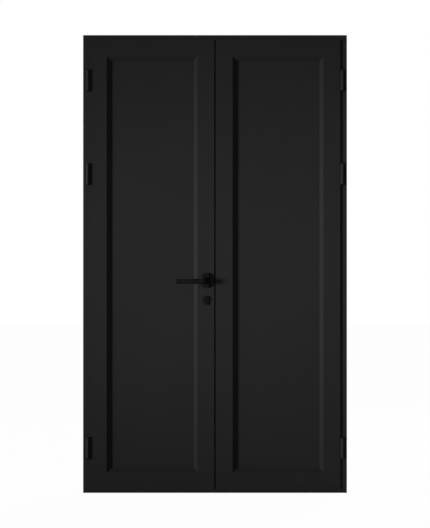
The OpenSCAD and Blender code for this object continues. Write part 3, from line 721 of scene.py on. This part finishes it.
def rounded_plate(name: str, box: tuple[Vector, Vector], front: float, corner: float, edge: float,
                  bore: float) -> bpy.types.Mesh:
    """Makes an upright plate with round corners, a rounded front edge and a round bore.

    Args:
        name: the mesh's name.
        box: the plate's two corners.
        front: the Y of its front face.
        corner: radius of its corners.
        edge: radius of the rounding round its front.
        bore: radius of the bore in its middle.

    Returns:
        The closed mesh.
    """
    low, high = box
    middle = (low + high) / 2
    back = low.y + high.y - front
    inward = math.copysign(1.0, back - front)
    reach_x, reach_z = (high.x - low.x) / 2 - corner, (high.z - low.z) / 2 - corner
    outline = []
    for quarter, (sx, sz) in enumerate(((1, 1), (-1, 1), (-1, -1), (1, -1))):
        for x, z in arc(1.0, 0.0, 0.0, 90.0 * quarter, 90.0 * quarter + 90.0, CORNER_STEPS):
            outline.append((sx * reach_x, sz * reach_z, x, z))
    rings = [(0.0, back)]
    for step in range(EDGE_STEPS + 1):
        turn = math.radians(90.0 * step / EDGE_STEPS)
        rings.append((edge * (1 - math.cos(turn)), front + inward * edge * (1 - math.sin(turn))))
    made = bmesh.new()
    loops = []
    for inset, depth in rings:
        radius = corner - inset
        loops.append([made.verts.new((middle.x + cx + radius * x, depth, middle.z + cz + radius * z))
                      for cx, cz, x, z in outline])
    ways = [Vector((cx + corner * x, cz + corner * z)).normalized() * bore for cx, cz, x, z in outline]
    for depth in (front, back):
        loops.append([made.verts.new((middle.x + way.x, depth, middle.z + way.y)) for way in ways])
    skin(made, loops)
    mesh = plain_mesh(made, name)
    mesh.shade_smooth()
    mesh.set_sharp_from_angle(angle=SMOOTH_ANGLE)
    return mesh


@dataclass
class DoorFrame:
    """The frame that stands still: jambs, head, threshold, frame hinge wings and stop gasket.

    Attributes:
        finishes: the door's finishes.
        gasket_width: width of the stop gasket.
        foot_inset: how far its foot stands back from each side.
        foot_thick: thickness of its foot.
        neck_thick: height of the neck between foot and bulb.
        neck_share: half the neck's width, as a share of the bulb's radius.
        bulb_arc: the angles at which the bulb starts and ends, in degrees.
        bulb_steps: the number of steps round the bulb.
    """

    finishes: Finishes
    gasket_width: float = 8.0 * MM
    foot_inset: float = 0.6 * MM
    foot_thick: float = 1.4 * MM
    neck_thick: float = 1.6 * MM
    neck_share: float = 0.9
    bulb_arc: tuple[float, float] = (150.0, 390.0)
    bulb_steps: int = 12

    def dress(self) -> None:
        """Puts the finishes on the frame's CAD nodes."""
        looks = self.finishes
        dress(looks.upright, "frame_left_jamb", "frame_right_jamb")
        dress(looks.level, "frame_head", "threshold")
        dress(looks.hinge, "left_hinge_frame_wings", "right_hinge_frame_wings")
        dress(looks.steel, "hinge_pins", "frame_hinge_screws", "bolt_keepers")
        dress(looks.mill, "frame_corner_cleats")
        dress(looks.rubber, "hinge_washers", "frame_gasket")
        dress(looks.black, "hinge_caps")

    def stop_gasket(self) -> bpy.types.Object:
        """Builds the bulb gasket on the stop flange.

        Returns:
            The gasket.
        """
        low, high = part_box("frame_gasket")
        foot, lip = high.y, low.y
        radius = (foot - lip) / 2
        middle = self.gasket_width / 2
        inner, outer = self.foot_inset, self.gasket_width - self.foot_inset
        top = foot - self.foot_thick
        section = [(inner, foot), (inner, top), (middle - radius * self.neck_share, foot - self.neck_thick)]
        section += arc(radius, middle, lip + radius, *self.bulb_arc, self.bulb_steps)
        section += [(outer, top), (outer, foot)]
        mesh = sweep_ring("stop_gasket", section, ring_outline(low, high, self.gasket_width))
        piece = new_piece("stop_gasket", mesh, self.finishes.rubber, "frame")
        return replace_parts(piece, "frame_gasket")


@dataclass
class Leaf:
    """One leaf: profiles, panel, beads, gaskets, meeting profile with its pile seal, hinge wings.

    Attributes:
        side: which leaf it is.
        finishes: the door's finishes.
        wedge_width: width of a panel gasket.
        wedge_lip: how far its heel stands back from each side.
        wedge_touch: where it leaves the panel, as a share of its width.
        wedge_shoulder: where its slope ends, as a share of its depth.
        wedge_nose: where it reaches furthest in, as a share of its depth.
        tuft_pitch: distance between the pile's tufts.
        tuft_radius: radius of a tuft.
        tuft_sides: number of sides of a tuft.
        tuft_rows: each row's place across the strip, as a share, and its seed.
        tuft_lean: how far a tuft may lean, in radians.
        tuft_least: smallest scale of a tuft.
        tuft_most: largest scale of a tuft.
        strip_depth: thickness of the strip that the tufts stand on.
        fin_reach: how far the fin reaches past the middle of the door.
        fin_thick: thickness of the fin.
        fin_shift: how far the fin lies off the middle of the strip, as a share of its width.
    """

    side: Side
    finishes: Finishes
    wedge_width: float = 6.0 * MM
    wedge_lip: float = 0.45 * MM
    wedge_touch: float = 0.35
    wedge_shoulder: float = 0.72
    wedge_nose: float = 0.35
    tuft_pitch: float = 1.6 * MM
    tuft_radius: float = 0.8 * MM
    tuft_sides: int = 4
    tuft_rows: Sequence[tuple[float, int]] = ((0.2, 11), (0.5, 23), (0.8, 37))
    tuft_lean: float = 0.05
    tuft_least: Point = (0.85, 0.85, 0.92)
    tuft_most: Point = (1.0, 1.0, 0.98)
    strip_depth: float = 1.2 * MM
    fin_reach: float = 0.45 * MM
    fin_thick: float = 0.4 * MM
    fin_shift: float = 0.1

    def name(self, part: str) -> str:
        """The name of one of the leaf's nodes."""
        return f"{self.side.word}_{part}"

    def dress(self) -> None:
        """Puts the finishes on the leaf's CAD nodes."""
        looks = self.finishes
        for material, parts in (
            (looks.upright, ("hinge_stile", "meeting_stile", "meeting_profile", "glazing_beads")),
            (looks.level, ("top_rail", "bottom_rail")),
            (looks.hinge, ("hinge_leaf_wings",)),
            (looks.panel, ("panel",)),
            (looks.mill, ("corner_cleats",)),
            (looks.steel, ("leaf_screws",)),
            (looks.black, ("meeting_caps",)),
            (looks.rubber, ("panel_packers", "panel_gaskets", "meeting_seal")),
        ):
            dress(material, *map(self.name, parts))

    def panel_gaskets(self) -> bpy.types.Object:
        """Builds the wedge gaskets in front of and behind the panel.

        Returns:
            The two gaskets as one piece.
        """
        low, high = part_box(self.name("panel_gaskets"))
        panel_low, panel_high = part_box(self.name("panel"))
        width, lip = self.wedge_width, self.wedge_lip
        made = bmesh.new()
        for seat, face in ((low.y, panel_low.y), (high.y, panel_high.y)):
            depth = face - seat
            section = [(lip, seat), (width - lip, seat), (width - lip, face),
                       (width * self.wedge_touch, face),
                       (lip / 2, seat + depth * self.wedge_shoulder),
                       (0.0, seat + depth * self.wedge_nose)]
            ring = sweep_ring("wedge", section, ring_outline(low, high, width))
            made.from_mesh(ring)
            bpy.data.meshes.remove(ring)
        mesh = plain_mesh(made, self.name("wedge_gaskets"))
        piece = new_piece(self.name("wedge_gaskets"), mesh, self.finishes.rubber, self.side.body)
        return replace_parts(piece, self.name("panel_gaskets"))

    def tufts(self, tree: NodeTree, low: Vector, high: Vector, strip: float,
              length: float) -> list[bpy.types.NodeSocket]:
        """Adds the rows of tufts.

        Args:
            tree: the pile seal's tree.
            low: the lower corner of the seal's box.
            high: its upper corner.
            strip: the X of the strip's face, where the tufts stand.
            length: the tufts' length.

        Returns:
            The geometry of each row.
        """
        count = tree.size("Tufts", "Int", int((high.z - low.z) / self.tuft_pitch) - 1)
        pitch = tree.size("Pitch", "Vector", (0.0, 0.0, self.tuft_pitch))
        radius = tree.size("Tuft radius", "Float", self.tuft_radius)
        depth = tree.size("Tuft length", "Float", length)
        tuft = tree.node("GeometryNodeMeshCone", {"fill_type": "NGON"}, {
            "Vertices": self.tuft_sides, "Radius Top": radius, "Radius Bottom": radius, "Depth": depth})
        across, lean = -math.pi / 2 * self.side.value, self.tuft_lean
        rows = []
        for share, seed in self.tuft_rows:
            start = (strip, low.y + share * (high.y - low.y), low.z + self.tuft_pitch)
            line = tree.node("GeometryNodeMeshLine", {"mode": "OFFSET"}, {
                "Count": count, "Start Location": start, "Offset": pitch})
            turn = tree.node("FunctionNodeRandomValue", {"data_type": "FLOAT_VECTOR"}, {
                0: (-lean, across - lean, -lean), 1: (lean, across + lean, lean), "Seed": seed})
            scale = tree.node("FunctionNodeRandomValue", {"data_type": "FLOAT_VECTOR"}, {
                0: self.tuft_least, 1: self.tuft_most, "Seed": seed + 1})
            placed = tree.node("GeometryNodeInstanceOnPoints", {}, {
                "Points": line.outputs[0], "Instance": tuft.outputs[0],
                "Rotation": turn.outputs[0], "Scale": scale.outputs[0]})
            rows.append(placed.outputs[0])
        return rows

    def pile_seal(self) -> bpy.types.Object:
        """Builds the pile seal on the meeting profile: a backing strip, rows of tufts and a thin fin.

        The fin reaches just past the middle of the door, the left one in front of the right one.

        Returns:
            The seal.
        """
        low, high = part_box(self.name("meeting_seal"))
        sign = self.side.value
        tip, root = sorted((abs(low.x), abs(high.x)))
        strip = root - self.strip_depth
        width, height = high.y - low.y, high.z - low.z
        middle = (low + high) / 2
        tree = NodeTree(self.name("pile"))
        parts = self.tufts(tree, low, high, sign * strip, strip - tip)
        parts.append(tree.block("Strip size", (self.strip_depth, width, height),
                                (sign * (root - self.strip_depth / 2), middle.y, middle.z)))
        fin_y = low.y + (0.5 + self.fin_shift * sign) * width
        parts.append(tree.block("Fin size", (strip + self.fin_reach, self.fin_thick, height),
                                (sign * (strip - self.fin_reach) / 2, fin_y, middle.z)))
        mesh = tree.mesh(parts, self.finishes.pile)
        piece = new_piece(self.name("pile_seal"), mesh, self.finishes.pile, self.side.body)
        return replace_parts(piece, self.name("meeting_seal"))


@dataclass
class LockSet:
    """The lock, lever handles, cylinder, strike and flush bolts.

    Attributes:
        finishes: the door's finishes.
        rosette_corner: radius of a rosette's corners.
        rosette_edge: radius of the rounding round its front.
        bore: radius of the hole that the lever's neck turns in.
    """

    finishes: Finishes
    rosette_corner: float = 14.0 * MM
    rosette_edge: float = 3.0 * MM
    bore: float = 14.3 * MM

    def dress(self) -> None:
        """Puts the finishes on the lock's CAD nodes."""
        looks = self.finishes
        dress(looks.grip, "front_lever", "back_lever")
        dress(looks.black, "front_rosette", "back_rosette", "front_escutcheon", "back_escutcheon",
              "cylinder_body", "key_plugs")
        dress(looks.steel, "lock_case", "lock_faceplate", "spindle", "lock_follower", "latch_bolt",
              "deadbolt", "cylinder_cam", "strike_keep", "bolt_plates", "top_bolt", "bottom_bolt")

    def rosette(self, face: Face) -> bpy.types.Object:
        """Builds a rosette with a rounded edge.

        Args:
            face: the face of the leaf that it sits on.

        Returns:
            The rosette.
        """
        name, node = f"{face.value}_cover", f"{face.value}_rosette"
        low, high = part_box(node)
        front = low.y if face is Face.FRONT else high.y
        mesh = rounded_plate(name, (low, high), front, self.rosette_corner, self.rosette_edge, self.bore)
        piece = new_piece(name, mesh, self.finishes.black, Side.LEFT.body)
        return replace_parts(piece, node)


@dataclass
class Studio:
    """Camera, lamps, world and floor, with lengths in metres, angles in degrees and power in watts.

    Attributes:
        distance: from the camera to the front of the frame.
        eye: height of the camera.
        view_h: height of the photograph's frame at the front of the frame.
        front: the Y of the front of the frame.
        sensor: the longer side of the camera's sensor, in millimetres.
        lamp_distance: how far the lamps stand from the middle of the door, on the floor plan.
        lamp_size: width and height of each lamp.
        key_angle: how far the key stands round to the left from straight in front.
        key_height: height of the key.
        key_target: the point that the key faces.
        key_power: power of the key.
        key_spread: beam angle of the key.
        back_angle: how far the back lamp stands round to the right from straight behind.
        back_height: height of the back lamp.
        back_power: power of the back lamp.
        back_spread: beam angle of the back lamp.
        ambient: strength of the world as a light.
        floor_size: length of the floor's sides.
        floor_shade: the floor's grey, as far as its shadows show.
        floor_glow: share of plain white in the floor as the camera sees it.
    """

    distance: float = 7.0
    eye: float = 1.05
    view_h: float = 2.4223
    front: float = -0.025
    sensor: float = 36.0
    lamp_distance: float = 8.0
    lamp_size: float = 2.0
    key_angle: float = 55.0
    key_height: float = 1.1
    key_target: Point = (0.26, 0.0, 1.08)
    key_power: float = 20.4
    key_spread: float = 22.0
    back_angle: float = 28.0
    back_height: float = 3.5
    back_power: float = 72.0
    back_spread: float = 60.0
    ambient: float = 0.165
    floor_size: float = 40.0
    floor_shade: float = 0.8
    floor_glow: float = 0.98

    WHITE: ClassVar[tuple[float, float, float, float]] = (1.0, 1.0, 1.0, 1.0)

    def camera(self) -> None:
        """Stands the camera straight in front of the door."""
        data = bpy.data.cameras.new("camera")
        data.sensor_width = self.sensor
        data.lens = self.sensor * self.distance / self.view_h
        eye = bpy.data.objects.new("camera", data)
        eye.location = (0.0, self.front - self.distance, self.eye)
        eye.rotation_euler = (math.pi / 2, 0.0, 0.0)
        bpy.context.scene.collection.objects.link(eye)
        bpy.context.scene.camera = eye

    def lamp(self, name: str, at: Point, aim: Point, power: float, spread: float) -> None:
        """Adds one soft lamp.

        Args:
            name: the lamp's name.
            at: where it stands.
            aim: the point that it faces.
            power: its power.
            spread: its beam angle.
        """
        data = bpy.data.lights.new(name, "AREA")
        data.shape = "RECTANGLE"
        data.size, data.size_y = self.lamp_size, self.lamp_size
        data.energy = power
        data.spread = math.radians(spread)
        lamp = bpy.data.objects.new(name, data)
        lamp.location = at
        lamp.rotation_euler = (Vector(aim) - Vector(at)).to_track_quat("-Z", "Y").to_euler()
        bpy.context.scene.collection.objects.link(lamp)

    def lamps(self) -> None:
        """Adds the key from the front left, and a lamp from the back right for the other sides."""
        turn = math.radians(self.key_angle)
        out, away = self.lamp_distance * math.sin(turn), self.lamp_distance * math.cos(turn)
        self.lamp("key", (-out, -away, self.key_height), self.key_target, self.key_power, self.key_spread)
        turn = math.radians(self.back_angle)
        out, away = self.lamp_distance * math.sin(turn), self.lamp_distance * math.cos(turn)
        aim = (0.0, 0.0, self.eye)
        self.lamp("back", (out, away, self.back_height), aim, self.back_power, self.back_spread)

    def world(self) -> None:
        """Makes the world white to the eye and in reflections, and dim as a light."""
        world = bpy.data.worlds.new("studio")
        bpy.context.scene.world = world
        graph = Graph(world)
        level = graph.seen() * (1.0 - self.ambient) + self.ambient
        graph.surface(graph.node("ShaderNodeBackground", {}, {"Color": self.WHITE, "Strength": level}))

    def floor(self) -> None:
        """Lays a pale floor that keeps a trace of the door's shadow."""
        half = self.floor_size / 2
        mesh = bpy.data.meshes.new("floor")
        corners = [(-half, -half, 0), (half, -half, 0), (half, half, 0), (-half, half, 0)]
        mesh.from_pydata(corners, [], [(0, 1, 2, 3)])
        floor = bpy.data.objects.new("floor", mesh)
        bpy.context.scene.collection.objects.link(floor)
        material = bpy.data.materials.new("floor")
        graph = Graph(material)
        shade = (self.floor_shade, self.floor_shade, self.floor_shade, 1.0)
        plain = graph.node("ShaderNodeBsdfDiffuse", {}, {"Color": shade})
        white = graph.node("ShaderNodeEmission", {}, {"Color": self.WHITE, "Strength": 1.0})
        blend = {0: graph.seen() * self.floor_glow, 1: plain.out(), 2: white.out()}
        graph.surface(graph.node("ShaderNodeMixShader", {}, blend))
        mesh.materials.append(material)

    def build(self) -> None:
        """Builds the whole studio."""
        bpy.context.scene.view_settings.view_transform = "Standard"
        self.camera()
        self.lamps()
        self.world()
        self.floor()


def main() -> None:
    """Builds and dresses the door, then the studio."""
    logging.basicConfig(level=logging.INFO, format="%(name)s: %(message)s")
    finishes = Finishes()
    surround = DoorFrame(finishes)
    surround.dress()
    surround.stop_gasket()
    for side in Side:
        leaf = Leaf(side, finishes)
        leaf.dress()
        leaf.panel_gaskets()
        leaf.pile_seal()
    lock = LockSet(finishes)
    lock.dress()
    for face in Face:
        lock.rosette(face)
    Studio().build()


if __name__ == "__main__":
    main()
